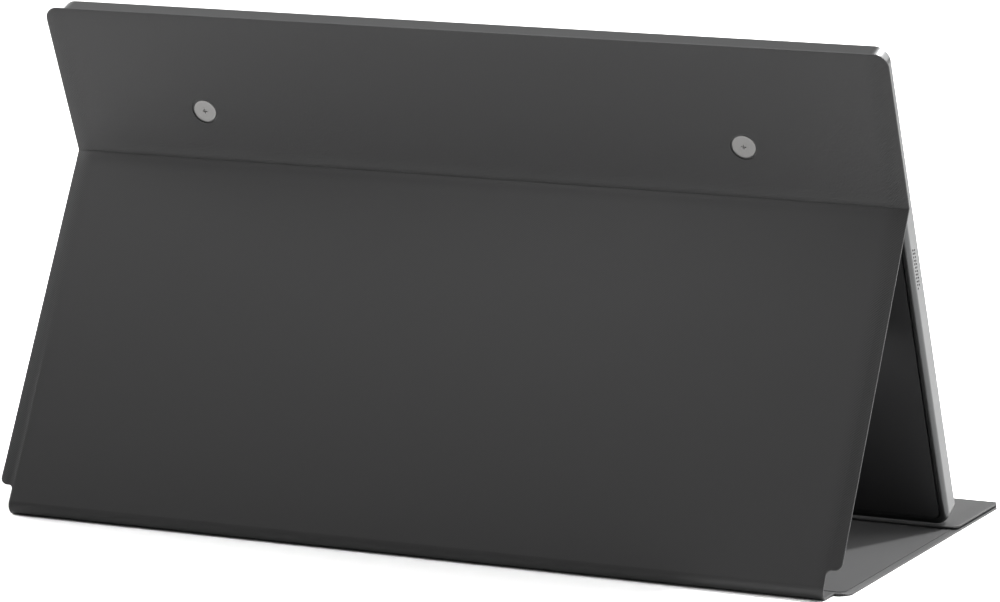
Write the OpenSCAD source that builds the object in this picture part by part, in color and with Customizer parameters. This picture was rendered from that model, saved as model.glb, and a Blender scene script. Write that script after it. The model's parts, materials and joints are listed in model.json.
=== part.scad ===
// Portable monitor with a folding cover, standing open on the cover.
// Millimetres, +Z up. The screen faces -Y and the cover's strut is behind it, at +Y.
// The origin is on the table, in the middle of the footprint.

/* [Screen] */
// Width of the lit area of the screen
screen_w = 344.2; // [300:0.1:390]
// Height of the lit area of the screen
screen_h = 193.6; // [170:0.1:220]
// Width of the dark border on each side of the lit area
border_side = 4.9; // [4.5:0.1:9]
// Height of the dark border above the lit area
border_top = 6; // [5:0.1:12]
// Height of the dark border below the lit area
border_bottom = 12.4; // [11:0.1:20]
// Depth of the front border piece
bezel_t = 0.6; // [0.5:0.05:0.9]
// How far the glass cell reaches beyond the lit area on each side
cell_margin = 1.6; // [1:0.1:2]
// Thickness of the glass cell
cell_t = 0.8; // [0.6:0.05:1]
// Thickness of the light guide behind the cell
guide_t = 1; // [0.8:0.05:1.2]
// Thickness of the steel tray that holds cell and light guide
tray_t = 0.3; // [0.3:0.05:0.4]

/* [Monitor case] */
// Depth of the case from its back to its front edge
case_depth = 9; // [9:0.1:12]
// Corner radius of the case, seen from behind
case_corner_r = 6; // [5:0.1:12]
// Radius of the long rounding around the back of the frame
back_edge_r = 2; // [1:0.1:2.5]
// Radius of the small rounding around the front of the frame
front_edge_r = 0.6; // [0.3:0.05:0.9]
// Thickness of the frame's side wall
wall_t = 1.4; // [1.1:0.05:1.6]
// Width of the frame's lip around the back panel
lip_w = 3; // [2.6:0.1:4]
// Thickness of that lip
lip_t = 1.2; // [1:0.05:1.3]
// Width of the groove between the lip and the back panel
groove_w = 0.8; // [0.4:0.05:1.4]
// Thickness of the hidden flange that holds the back panel behind the lip
panel_flange_t = 0.6; // [0.5:0.05:0.7]
// How far the back panel lies below the lip's outer face
panel_recess = 0.1; // [0.05:0.05:0.4]

/* [Sound and sockets] */
// Speaker holes in the longer row
grille_count = 12; // [6:1:20]
// Distance between neighbouring speaker holes of a row
grille_pitch = 1.56; // [1.2:0.02:2]
// Distance between the two rows of speaker holes
grille_row_gap = 1.5; // [1.2:0.05:2]
// Radius of one speaker hole
grille_hole_r = 0.45; // [0.3:0.05:0.5]
// Length of a speaker module
speaker_len = 34; // [24:0.5:36]
// Width of a speaker module
speaker_w = 13; // [8:0.5:20]
// Distance from the button board up to the speaker beside it
speaker_gap = 1.9; // [1:0.1:6]
// Width of a data socket's mouth
data_mouth_w = 9; // [8.4:0.1:9.6]
// Height of a data socket's mouth
data_mouth_h = 3; // [2.6:0.1:3]
// Width of the picture socket's mouth
picture_mouth_w = 11; // [10.6:0.1:12]
// Radius of the headphone socket's mouth
jack_r = 1.8; // [1.75:0.01:1.85]
// How far the sockets reach into the case
socket_len = 7; // [6:0.1:9]
// Distance from one socket's middle to the next
socket_pitch = 13.5; // [12.5:0.1:14]
// Height of the lowest socket's middle above the case's lower edge
socket_low = 16; // [15:0.5:17]
// Length of the power button
power_len = 10; // [7:0.1:14]
// Length of each menu button
menu_len = 7; // [5:0.1:9]
// Width of all the buttons
button_w = 2.2; // [1.6:0.05:2.4]
// How far a button stands out of the frame
button_out = 0.4; // [0.3:0.05:0.6]
// How far a button travels when it is pressed
button_travel = 0.3; // [0.2:0.05:0.3]
// Play between a button and its slot
button_play = 0.15; // [0.1:0.05:0.2]
// Distance from one button's middle to the next
button_pitch = 10.5; // [10.3:0.1:10.8]
// Height of the lowest button's middle above the uppermost socket's middle
button_rise = 13.5; // [12.5:0.1:14]
// Size of a switch behind a button
switch_size = 2.4; // [1.8:0.1:3]

/* [Cover] */
// Thickness of the woven outer skin
skin_t = 0.4; // [0.3:0.05:0.6]
// Thickness of the stiff board inside a panel
board_t = 0.6; // [0.4:0.05:1]
// Thickness of the lining
lining_t = 0.3; // [0.2:0.05:0.5]
// Width of the skin that is turned in around a lining
hem_w = 2.5; // [2:0.1:5]
// How far the cover stands out on each side of the case
cover_side = 3; // [1:0.1:6]
// How far the cover stands out above the case
cover_top = 2; // [0.5:0.1:5]
// Corner radius of the panels
panel_corner_r = 5.5; // [3:0.1:10]
// Corner radius of the strut's shoulders
shoulder_r = 4.5; // [2:0.1:5.5]
// Corner radius beside the front fold
front_corner_r = 2.5; // [1:0.1:5]
// Distance of the upper fold below the case's upper edge
fold_drop = 64.7; // [45:0.1:90]
// Height of the narrow spine between its two folds
spine_len = 10.6; // [9.5:0.1:16]
// How much narrower the spine is than the cover on each side
spine_inset = 6.5; // [5.6:0.1:12]
// Length of the narrow strip between the spine and the base's shoulders
base_neck = 6.8; // [3:0.1:12]
// Length of the flap that is folded back on the base
flap_len = 49.6; // [35:0.1:70]
// How much narrower the flap is than the base on each side
flap_inset = 1; // [0.5:0.1:3]
// Play at a fold between the round edge and the panel beside it
hinge_play = 0.15; // [0.1:0.01:0.25]
// Air between the base and the folded flap
flap_gap = 0.2; // [0.1:0.05:0.5]
// Setback of the base and the flap from the front fold
front_setback = 0.4; // [0.3:0.05:1]

/* [Stand] */
// Lean of the monitor from upright
lean = 23.1; // [16:0.1:30]
// Angle of the strut from upright
strut_angle = 27.9; // [22:0.1:34]
// Distance from the monitor's foot to the flap's free edge
foot_on_flap = 1.9; // [1.5:0.1:12]
// Air between the monitor's foot and the flap
foot_gap = 0.25; // [0.15:0.05:0.4]

/* [Screws and magnets] */
// Distance between the two cover screws
screw_span = 232.4; // [160:0.1:280]
// Height of the cover screws above the upper fold
screw_rise = 23; // [14:0.1:32]
// Radius of a cover screw's head
screw_head_r = 4.93; // [4:0.01:6]
// Thickness of that head
screw_head_t = 0.9; // [0.7:0.05:1]
// How far the head stands out of the skin
screw_head_out = 0.25; // [0.1:0.05:0.3]
// Radius of the screw's shank
screw_shank_r = 1.5; // [1.2:0.05:2]
// Length of the shank inside the case
screw_bite = 3.4; // [2.6:0.1:4]
// Width across the cross-shaped recess
cross_w = 2.1; // [1.6:0.05:3]
// Width of one slot of the cross
cross_slot = 0.42; // [0.3:0.01:0.6]
// Depth of the cross
cross_deep = 0.4; // [0.2:0.05:0.6]
// Width of the collar's rim around the head
collar_rim = 0.55; // [0.4:0.05:0.9]
// Wall of the brass insert around the shank
insert_wall = 1.2; // [0.8:0.05:1.8]
// Wall of the boss around the insert
boss_wall = 1.3; // [1:0.05:2]
// Length of a magnet
magnet_len = 24; // [12:0.5:36]
// Width of a magnet
magnet_w = 5; // [3:0.1:6]
// Distance from the cover's side to the middle of a magnet
magnet_inset = 48; // [38:0.5:56]

/* [Hidden] */
$fn = 64;

// Sizes that follow from the ones above
case_w = screen_w + 2 * border_side;
case_h = screen_h + border_top + border_bottom;
cover_w = case_w + 2 * cover_side;
spine_w = cover_w - 2 * spine_inset;
flap_w = cover_w - 2 * flap_inset;
sheet_t = skin_t + board_t + lining_t;
half_t = sheet_t / 2;
fold_setback = half_t + hinge_play;
upper_len = fold_drop + cover_top;
case_below = case_h - fold_drop;
stack_t = 2 * sheet_t + flap_gap;

// Folds, as [Y, Z], measured first from the upper fold
foot_y = -(case_below - back_edge_r) * sin(lean) - (half_t + back_edge_r) * cos(lean);
foot_z = stack_t + foot_gap + back_edge_r;
fold_z = foot_z + (case_below - back_edge_r) * cos(lean) - (half_t + back_edge_r) * sin(lean);
shoulder_z = half_t + spine_len;
strut_len = (fold_z - shoulder_z) / cos(strut_angle);
rear_y = strut_len * sin(strut_angle);
front_y = foot_y + foot_on_flap - flap_len;
base_len = rear_y - front_y;
middle_y = (rear_y + half_t + front_y + front_setback) / 2;
upper_fold = [-middle_y, fold_z];
shoulder_fold = [rear_y - middle_y, shoulder_z];
rear_fold = [rear_y - middle_y, half_t];
front_fold = [front_y - middle_y, sheet_t + flap_gap / 2];

// Depths inside the case, from its back towards the screen
fit_play = 0.1;
inner_w = case_w - 2 * wall_t;
inner_h = case_h - 2 * wall_t;
inner_r = case_corner_r - wall_t;
bezel_front = case_depth - fit_play;
bezel_back = bezel_front - bezel_t;
cell_back = bezel_back - cell_t;
guide_back = cell_back - guide_t;
tray_back = guide_back - tray_t;
panel_inside = lip_t + panel_flange_t;
room = tray_back - panel_inside - 2 * fit_play;
room_mid = (tray_back + panel_inside) / 2;
case_middle = fold_drop - case_h / 2;
screw_y = screw_rise - case_middle;

// The screen's layers
screen_y = (border_bottom - border_top) / 2;
cell_w = screen_w + 2 * cell_margin;
cell_h = screen_h + 2 * cell_margin;
tray_w = cell_w + 2 * fit_play + 2 * tray_t;
tray_h = cell_h + 2 * fit_play + 2 * tray_t;

// The electronics
side_x = inner_w / 2;
pcb_t = 0.8;
standoff_t = 0.3;
chip_t = 1;
pcb_front = tray_back - standoff_t;
pcb_back = pcb_front - pcb_t;
socket_y = socket_low - case_h / 2;
socket_wall = 0.1;
socket_side = 0.5;
socket_floor = 1;
tongue_side = 1.4;
tongue_t = 0.66;
jack_wall = 0.2;
jack_side = 1;
button_y = socket_y + 3 * socket_pitch + button_rise;
main_board_w = 96;
main_board_margin = 13;
main_board_h = 2 * socket_pitch + 2 * main_board_margin;
main_board_x = side_x - socket_len - main_board_w / 2 - fit_play;
main_board_y = socket_y + 1.5 * socket_pitch;
board_corner_r = 2;
board_screw_inset = 5;
board_screw_x = main_board_w / 2 - board_screw_inset;
board_screw_y = main_board_h / 2 - board_screw_inset;
board_screw_r = 1;
board_screw_head_r = 1.8;
board_screw_head_t = 0.6;
// Chips as [X, Y, width, height] from the main board's middle
chips = [[-14, 2, 16, 16], [14, 10, 9, 7], [16, -12, 7, 7], [-34, -8, 8, 5]];
ribbon_w = 28;
ribbon_t = 0.15;
ribbon_shift = 18;
ribbon_x = main_board_x - ribbon_shift;
ribbon_lap = 6;
strip_margin = 4;
strip_w = 2 * (ribbon_x + ribbon_w / 2 + strip_margin);
strip_h = 4.5;
strip_gap = 0.8;
strip_y = screen_y - tray_h / 2 - strip_gap - strip_h / 2;
strip_step = 0.6;
strip_back = tray_back + strip_step;

// Buttons: the root is the wider part behind the wall that keeps the key in its slot
key_root = 1;
root_margin = 0.8;
root_side = 0.25;
switch_t = 1.6;
switch_x = side_x - key_root - button_travel - fit_play;
button_board_margin = 2.5;
button_board_low = button_y - menu_len / 2 - button_board_margin;
button_board_high = button_y + 2 * button_pitch + power_len / 2 + button_board_margin;

// Speakers, above the buttons, with their holes at the same height in both side walls
grille_y = button_board_high + speaker_gap + speaker_len / 2;
grille_hole_faces = 24;
speaker_corner_r = 1.5;
membrane_rim = 1.8;
membrane_r = speaker_w / 2 - membrane_rim;
membrane_deep = 0.6;

// Cover screws, with depths measured from the case's back
insert_r = screw_shank_r + insert_wall;
boss_r = insert_r + boss_wall;
thread_play = 0.05;
head_under = screw_head_t - screw_head_out - sheet_t;
collar_r = screw_head_r + fit_play + collar_rim;
collar_recess = 0.05;
magnet_x = cover_w / 2 - magnet_inset;
magnet_edge = 2;

// The spine's lining stops a little beyond the round edges of its folds
spine_lining_gap = 0.35;
spine_edge = half_t + spine_lining_gap;

// How far a cut runs past the face it opens, and how far two parts of one outline overlap
through = 1;
overlap = 0.01;

// Frames of the case and of each cover panel
module in_case() {
    translate([0, upper_fold[0], upper_fold[1]])
        rotate([90 - lean, 0, 0])
            translate([0, case_middle, half_t])
                children();
}

// In a panel's frame the sheet runs along +Y from its fold and its outer face is at +half_t.
module in_upper() {
    translate([0, upper_fold[0], upper_fold[1]])
        rotate([90 - lean, 0, 0])
            rotate([0, 180, 0])
                children();
}

module in_strut() {
    translate([0, upper_fold[0], upper_fold[1]])
        rotate([strut_angle - 90, 0, 0])
            children();
}

module in_spine() {
    translate([0, shoulder_fold[0], shoulder_fold[1]])
        rotate([-90, 0, 0])
            children();
}

module in_base() {
    translate([0, rear_fold[0], rear_fold[1]])
        rotate([180, 0, 0])
            children();
}

module in_flap() {
    translate([0, front_fold[0], front_fold[1] + flap_gap / 2 + half_t])
        children();
}

// A plate with round corners, from depth z0 to z1
module plate(w, h, r, z0, z1) {
    translate([0, 0, z0])
        linear_extrude(z1 - z0)
            outline(w, -h / 2, h / 2, r, r);
}

// A panel's outline from y0 to y1, with corner radius r0 at its start and r1 at its end
module outline(w, y0, y1, r0, r1) {
    translate([-w / 2, y0 + r0])
        square([w, y1 - y0 - r0 - r1]);
    translate([r0 - w / 2, y0])
        square([w - 2 * r0, r0 + overlap]);
    translate([r1 - w / 2, y1 - r1 - overlap])
        square([w - 2 * r1, r1 + overlap]);
    for (side = [-1, 1]) {
        if (r0 > 0)
            translate([side * (w / 2 - r0), y0 + r0])
                circle(r0);
        if (r1 > 0)
            translate([side * (w / 2 - r1), y1 - r1])
                circle(r1);
    }
}

// A section with x measured inwards from a rounded rectangle's edge, swept once around it
module ring(w, h, r) {
    for (turn = [0:3]) {
        half = turn % 2 == 0 ? [w / 2, h / 2] : [h / 2, w / 2];
        rotate([0, 0, 90 * turn]) {
            translate([half[0], r - half[1], 0])
                rotate([90, 0, 180])
                    linear_extrude(2 * (half[1] - r))
                        children();
            translate([half[0] - r, half[1] - r, 0])
                rotate_extrude(angle = 90)
                    translate([r, 0])
                        mirror([1, 0])
                            children();
        }
    }
}

// Cross-section of the aluminium frame: side wall, rounded edges and the lip around the back panel
module frame_section() {
    difference() {
        union() {
            translate([0, back_edge_r])
                square([lip_w, case_depth - back_edge_r - front_edge_r]);
            translate([back_edge_r, 0])
                square([lip_w - back_edge_r, case_depth]);
            translate([front_edge_r, case_depth - back_edge_r])
                square([lip_w - front_edge_r, back_edge_r]);
            translate([back_edge_r, back_edge_r])
                circle(back_edge_r);
            translate([front_edge_r, case_depth - front_edge_r])
                circle(front_edge_r);
        }
        translate([wall_t, lip_t])
            square([lip_w, case_depth]);
    }
}

// A cut of the given shape through the frame's wall at height y
module wall_cut(y) {
    translate([side_x - through, y, room_mid])
        rotate([90, 0, 90])
            linear_extrude(wall_t + 2 * through)
                children();
}

module round_slot(len, width) {
    square([len - width, width], center = true);
    for (side = [-1, 1])
        translate([side * (len - width) / 2, 0])
            circle(width / 2);
}

module speaker_holes() {
    for (row = [0, 1])
        for (i = [0 : grille_count - 1 - row])
            translate([
                side_x - through,
                grille_y + (i - (grille_count - 1 - row) / 2) * grille_pitch,
                room_mid + (row - 0.5) * grille_row_gap
            ])
                rotate([0, 90, 0])
                    cylinder(h = wall_t + 2 * through, r = grille_hole_r, $fn = grille_hole_faces);
}

module frame_shell() {
    color("#a9abad")
    in_case()
        difference() {
            ring(case_w, case_h, case_corner_r)
                frame_section();
            speaker_holes();
            mirror([1, 0, 0])
                speaker_holes();
            for (i = [0, 1])
                wall_cut(socket_y + i * socket_pitch)
                    round_slot(data_mouth_w, data_mouth_h);
            wall_cut(socket_y + 2 * socket_pitch)
                round_slot(picture_mouth_w, data_mouth_h);
            wall_cut(socket_y + 3 * socket_pitch)
                circle(jack_r);
            for (i = [0:2])
                wall_cut(button_y + i * button_pitch)
                    round_slot(
                        (i == 2 ? power_len : menu_len) + 2 * button_play,
                        button_w + 2 * button_play
                    );
        }
}

module back_panel() {
    outer_inset = lip_w + groove_w;
    color("#1b1b1c")
    in_case()
        difference() {
            union() {
                plate(
                    case_w - 2 * outer_inset,
                    case_h - 2 * outer_inset,
                    case_corner_r - outer_inset,
                    panel_recess,
                    lip_t
                );
                plate(
                    inner_w - 2 * fit_play,
                    inner_h - 2 * fit_play,
                    inner_r - fit_play,
                    lip_t,
                    panel_inside
                );
                at_screws()
                    translate([0, 0, panel_inside])
                        cylinder(h = screw_bite - panel_inside, r = boss_r);
            }
            at_screws()
                cylinder(h = screw_bite + through, r = insert_r);
        }
}

module at_screws() {
    for (side = [-1, 1])
        translate([side * screw_span / 2, screw_y, 0])
            children();
}

module front_bezel() {
    color("#161617")
    in_case()
        difference() {
            plate(
                inner_w - 2 * fit_play,
                inner_h - 2 * fit_play,
                inner_r - fit_play,
                bezel_back,
                bezel_front
            );
            translate([0, screen_y, 0])
                plate(screen_w, screen_h, 0, bezel_back - through, case_depth + through);
        }
}

module glass_cell() {
    color("#0d0f12")
    in_case()
        translate([0, screen_y, 0])
            plate(cell_w, cell_h, 0, cell_back, bezel_back);
}

module light_guide() {
    color("#e9edf0")
    in_case()
        translate([0, screen_y, 0])
            plate(cell_w, cell_h, 0, guide_back, cell_back);
}

module screen_tray() {
    color("#8f9296")
    in_case()
        translate([0, screen_y, 0])
            difference() {
                plate(tray_w, tray_h, 0, tray_back, bezel_back);
                plate(cell_w + 2 * fit_play, cell_h + 2 * fit_play, 0, guide_back, case_depth);
            }
}

module at_board_screws() {
    for (sx = [-1, 1])
        for (sy = [-1, 1])
            translate([main_board_x + sx * board_screw_x, main_board_y + sy * board_screw_y, 0])
                children();
}

module driver_board() {
    color("#1f5a3a")
    in_case()
        difference() {
            translate([main_board_x, main_board_y, 0])
                plate(main_board_w, main_board_h, board_corner_r, pcb_back, pcb_front);
            at_board_screws()
                translate([0, 0, pcb_back - through])
                    cylinder(h = pcb_t + 2 * through, r = board_screw_r + fit_play);
        }
}

module board_chips() {
    color("#202124")
    in_case()
        for (chip = chips)
            translate([main_board_x + chip[0], main_board_y + chip[1], 0])
                plate(chip[2], chip[3], 0, pcb_back - chip_t, pcb_back);
}

module board_screws() {
    color("#c4c6c8")
    in_case()
        at_board_screws() {
            translate([0, 0, pcb_back])
                cylinder(h = pcb_t + standoff_t, r = board_screw_r);
            translate([0, 0, pcb_back - board_screw_head_t])
                cylinder(h = board_screw_head_t, r = board_screw_head_r);
        }
}

// The narrow board below the glass cell
module strip_board() {
    color("#2c6b45")
    in_case()
        translate([0, strip_y, 0])
            plate(strip_w, strip_h, 0, strip_back, strip_back + pcb_t);
}

// The flat cable from the main board to the narrow board
module ribbon_cable() {
    top_y = main_board_y - main_board_h / 2 + ribbon_lap;
    color("#b9793a")
    in_case()
        translate([ribbon_x - ribbon_w / 2, strip_y, pcb_front]) {
            cube([ribbon_w, top_y - strip_y, ribbon_t]);
            cube([ribbon_w, ribbon_t, strip_back - pcb_front]);
        }
}

// A speaker box with two round membranes, against the inside of the frame's wall
module speaker() {
    middle_x = side_x - fit_play - speaker_w / 2;
    low = panel_inside + fit_play;
    difference() {
        translate([middle_x, grille_y, 0])
            plate(speaker_w, speaker_len, speaker_corner_r, low, tray_back - fit_play);
        for (side = [-1, 1])
            translate([middle_x, grille_y + side * speaker_len / 4, low - through])
                cylinder(h = membrane_deep + through, r = membrane_r);
    }
}

module speaker_left() {
    color("#242427")
    in_case()
        mirror([1, 0, 0])
            speaker();
}

module speaker_right() {
    color("#242427")
    in_case()
        speaker();
}

// A socket with a hollow mouth just behind its cut in the frame's wall, and a tongue in the mouth
module socket(y, len, width) {
    translate([side_x - socket_len, y, room_mid])
        rotate([90, 0, 90]) {
            difference() {
                linear_extrude(socket_len - fit_play)
                    square([len + 2 * socket_side, width + 2 * socket_wall], center = true);
                translate([0, 0, socket_floor])
                    linear_extrude(socket_len)
                        round_slot(len, width);
            }
            linear_extrude(socket_len - socket_floor)
                square([len - 2 * tongue_side, tongue_t], center = true);
        }
}

module data_sockets() {
    color("#b4b6b8")
    in_case()
        for (i = [0, 1])
            socket(socket_y + i * socket_pitch, data_mouth_w, data_mouth_h);
}

module picture_socket() {
    color("#a6a8aa")
    in_case()
        socket(socket_y + 2 * socket_pitch, picture_mouth_w, data_mouth_h);
}

module headphone_socket() {
    color("#1a1a1b")
    in_case()
        translate([side_x - socket_len, socket_y + 3 * socket_pitch, room_mid])
            rotate([90, 0, 90])
                difference() {
                    linear_extrude(socket_len - fit_play)
                        square([2 * jack_r + 2 * jack_side, 2 * jack_r + 2 * jack_wall], center = true);
                    translate([0, 0, socket_floor])
                        cylinder(h = socket_len, r = jack_r);
                }
}

// A button: the key that shows and a wider root that can't fall out of its slot
module button(index, len) {
    y = button_y + index * button_pitch;
    translate([side_x - key_root, y, room_mid])
        rotate([90, 0, 90]) {
            linear_extrude(key_root + wall_t + button_out)
                round_slot(len, button_w);
            linear_extrude(key_root - button_play)
                square([len + 2 * root_margin, button_w + 2 * root_side], center = true);
        }
}

module power_button() {
    color("#c9cbcd")
    in_case()
        button(2, power_len);
}

module menu_button_upper() {
    color("#c9cbcd")
    in_case()
        button(1, menu_len);
}

module menu_button_lower() {
    color("#c9cbcd")
    in_case()
        button(0, menu_len);
}

module button_board() {
    color("#1f5a3a")
    in_case()
        translate([
            switch_x - switch_t - pcb_t,
            button_board_low,
            room_mid - room / 2
        ])
            cube([pcb_t, button_board_high - button_board_low, room]);
}

module button_switches() {
    color("#d8d4c8")
    in_case()
        for (i = [0:2])
            translate([
                switch_x - switch_t,
                button_y + i * button_pitch - switch_size / 2,
                room_mid - switch_size / 2
            ])
                cube([switch_t, switch_size, switch_size]);
}

module case_magnets() {
    color("#6f7276")
    in_case()
        for (side = [-1, 1])
            translate([side * magnet_x - magnet_len / 2, fit_play - inner_h / 2, panel_inside])
                cube([magnet_len, magnet_w, room - fit_play]);
}

module screw_inserts() {
    color("#b08d46")
    in_case()
        at_screws()
            difference() {
                translate([0, 0, panel_recess])
                    cylinder(h = screw_bite - panel_recess, r = insert_r);
                cylinder(h = screw_bite + through, r = screw_shank_r + thread_play);
            }
}

module cover_screws() {
    color("#98999b")
    in_case()
        at_screws()
            difference() {
                union() {
                    translate([0, 0, head_under])
                        mirror([0, 0, 1])
                            screw_head();
                    translate([0, 0, head_under - screw_head_t / 2])
                        cylinder(h = screw_bite - head_under, r = screw_shank_r);
                }
                translate([0, 0, head_under - screw_head_t - through])
                    linear_extrude(through + cross_deep)
                        for (turn = [0, 90])
                            rotate(turn)
                                square([cross_w, cross_slot], center = true);
            }
}

// A low head with a rounded rim
module screw_head() {
    rim = screw_head_t / 3;
    rotate_extrude() {
        square([screw_head_r, screw_head_t - rim]);
        square([screw_head_r - rim, screw_head_t]);
        translate([screw_head_r - rim, screw_head_t - rim])
            circle(rim);
    }
}

module screw_collars() {
    color("#1d1d1e")
    in_case()
        at_screws()
            difference() {
                translate([0, 0, collar_recess - sheet_t])
                    cylinder(h = sheet_t - collar_recess, r = collar_r);
                translate([0, 0, -2 * sheet_t])
                    cylinder(h = 2 * sheet_t + head_under, r = screw_head_r + fit_play);
                translate([0, 0, -sheet_t])
                    cylinder(h = 2 * sheet_t, r = screw_shank_r + fit_play);
            }
}

// The three layers of a stiff panel. The skin is a tray that holds the board and the lining.
module skin_layer() {
    difference() {
        translate([0, 0, -half_t])
            linear_extrude(sheet_t)
                children(0);
        translate([0, 0, -half_t - through])
            linear_extrude(through + lining_t + board_t)
                children(1);
    }
}

module board_layer() {
    translate([0, 0, lining_t - half_t])
        linear_extrude(board_t)
            children();
}

module lining_layer() {
    translate([0, 0, -half_t])
        linear_extrude(lining_t)
            children();
}

// The round edge that a fold turns about
module fold_bead(w, y) {
    translate([-w / 2, y, 0])
        rotate([0, 90, 0])
            cylinder(h = w, r = half_t);
}

module upper_outline() {
    outline(cover_w, 0, upper_len, 0, panel_corner_r);
}

// The corner radius that is left inside the hem
function inside_r(r) = max(r - hem_w, 0);

module upper_inside() {
    outline(cover_w - 2 * hem_w, hem_w, upper_len - hem_w, 0, inside_r(panel_corner_r));
}

module screw_windows() {
    for (side = [-1, 1])
        translate([side * screw_span / 2, screw_rise])
            circle(collar_r + thread_play);
}

module upper_skin() {
    color("#3f4042")
    in_upper() {
        skin_layer() {
            difference() {
                upper_outline();
                screw_windows();
            }
            upper_inside();
        }
        fold_bead(cover_w, 0);
    }
}

module upper_board() {
    color("#8a7f6d")
    in_upper()
        board_layer()
            difference() {
                upper_inside();
                screw_windows();
            }
}

module upper_lining() {
    color("#5d5e60")
    in_upper()
        lining_layer()
            difference() {
                upper_inside();
                screw_windows();
            }
}

module strut_outline() {
    outline(cover_w, fold_setback, strut_len - fold_setback, 0, shoulder_r);
}

module strut_inside() {
    outline(
        cover_w - 2 * hem_w,
        fold_setback + hem_w,
        strut_len - fold_setback - hem_w,
        0,
        inside_r(shoulder_r)
    );
}

module strut_skin() {
    color("#3a3b3d")
    in_strut()
        skin_layer() {
            strut_outline();
            strut_inside();
        }
}

module strut_board() {
    color("#8a7f6d")
    in_strut()
        board_layer()
            strut_inside();
}

module strut_lining() {
    color("#5d5e60")
    in_strut()
        lining_layer()
            strut_inside();
}

module spine_skin() {
    color("#3a3b3d")
    in_spine() {
        skin_layer() {
            outline(spine_w, 0, spine_len, 0, 0);
            spine_inside();
        }
        fold_bead(spine_w, 0);
        fold_bead(spine_w, spine_len);
    }
}

module spine_inside() {
    outline(spine_w - 2 * hem_w, spine_edge, spine_len - spine_edge, 0, 0);
}

module spine_lining() {
    color("#5d5e60")
    in_spine()
        translate([0, 0, -half_t])
            linear_extrude(lining_t + board_t)
                spine_inside();
}

module base_outline() {
    outline(spine_w, fold_setback, base_neck + panel_corner_r, 0, 0);
    outline(cover_w, base_neck, base_len - front_setback, panel_corner_r, front_corner_r);
}

module base_inside() {
    outline(
        cover_w - 2 * hem_w,
        base_neck + hem_w,
        base_len - front_setback - hem_w,
        inside_r(panel_corner_r),
        0
    );
}

module base_skin() {
    color("#58595a")
    in_base()
        skin_layer() {
            base_outline();
            base_inside();
        }
}

module base_board() {
    color("#8a7f6d")
    in_base()
        board_layer()
            base_inside();
}

module base_lining() {
    color("#6e6e6e")
    in_base()
        lining_layer()
            base_inside();
}

module flap_outline() {
    outline(flap_w, front_setback, flap_len, front_corner_r, panel_corner_r);
}

module flap_inside() {
    outline(
        flap_w - 2 * hem_w,
        front_setback + hem_w,
        flap_len - hem_w,
        0,
        inside_r(panel_corner_r)
    );
}

// Places of the magnets along the flap's free edge
module flap_magnet_places() {
    for (side = [-1, 1])
        translate([side * magnet_x - magnet_len / 2, flap_len - hem_w - magnet_edge - magnet_w])
            square([magnet_len, magnet_w]);
}

module flap_skin() {
    color("#8d8d8b")
    in_flap()
        skin_layer() {
            flap_outline();
            flap_inside();
        }
}

module flap_board() {
    color("#8a7f6d")
    in_flap()
        board_layer()
            difference() {
                flap_inside();
                flap_magnet_places();
            }
}

module flap_lining() {
    color("#6e6e6e")
    in_flap()
        lining_layer()
            flap_inside();
}

module flap_magnets() {
    color("#6f7276")
    in_flap()
        board_layer()
            flap_magnet_places();
}

frame_shell();
back_panel();
front_bezel();
glass_cell();
light_guide();
screen_tray();
driver_board();
board_chips();
board_screws();
strip_board();
ribbon_cable();
speaker_left();
speaker_right();
data_sockets();
picture_socket();
headphone_socket();
power_button();
menu_button_upper();
menu_button_lower();
button_board();
button_switches();
case_magnets();
screw_inserts();
cover_screws();
screw_collars();
upper_skin();
upper_board();
upper_lining();
strut_skin();
strut_board();
strut_lining();
spine_skin();
spine_lining();
base_skin();
base_board();
base_lining();
flap_skin();
flap_board();
flap_lining();
flap_magnets();
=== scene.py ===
"""Portable monitor that stands open on its folding cover, seen from behind. Lengths are metres.

The case, screen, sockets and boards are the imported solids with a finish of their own. The cover's woven
cloth is made here: one flat pattern is cut, pressed thin at its rims and bent along the folds.
"""

import json
import math

import bpy
from bpy.props import FloatProperty, FloatVectorProperty, IntProperty, PointerProperty
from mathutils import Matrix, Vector


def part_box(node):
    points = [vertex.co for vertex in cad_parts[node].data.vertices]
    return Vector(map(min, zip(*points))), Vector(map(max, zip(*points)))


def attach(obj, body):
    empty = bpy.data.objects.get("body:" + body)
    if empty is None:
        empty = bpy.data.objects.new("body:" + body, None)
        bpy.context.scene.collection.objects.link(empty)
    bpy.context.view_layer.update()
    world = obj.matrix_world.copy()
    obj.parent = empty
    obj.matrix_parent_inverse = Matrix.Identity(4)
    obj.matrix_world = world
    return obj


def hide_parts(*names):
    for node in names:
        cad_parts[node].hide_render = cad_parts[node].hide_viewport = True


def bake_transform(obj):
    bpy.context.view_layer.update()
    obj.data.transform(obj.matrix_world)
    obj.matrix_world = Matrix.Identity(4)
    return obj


bl_info = {
    "name": "Portable monitor with cover",
    "version": (1, 0, 0),
    "blender": (4, 5, 0),
    "location": "View3D > Sidebar > Monitor",
    "description": "Builds the woven cover, the finishes and the studio of a portable monitor",
    "category": "Object",
}

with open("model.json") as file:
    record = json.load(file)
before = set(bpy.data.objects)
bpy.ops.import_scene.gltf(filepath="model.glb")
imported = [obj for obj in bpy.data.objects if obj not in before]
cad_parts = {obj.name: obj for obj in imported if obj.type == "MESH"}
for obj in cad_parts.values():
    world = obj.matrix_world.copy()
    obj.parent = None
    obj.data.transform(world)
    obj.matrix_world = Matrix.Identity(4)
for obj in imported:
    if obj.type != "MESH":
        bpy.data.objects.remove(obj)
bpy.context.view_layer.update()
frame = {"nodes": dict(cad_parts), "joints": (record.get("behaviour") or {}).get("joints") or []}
MM = 0.001

# The folds' hinge lines, as (Y, Z) places in the side view
FOLDS = {joint["name"]: Vector(joint["pos_m"][1:]) for joint in frame["joints"] if "pos_m" in joint}

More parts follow.
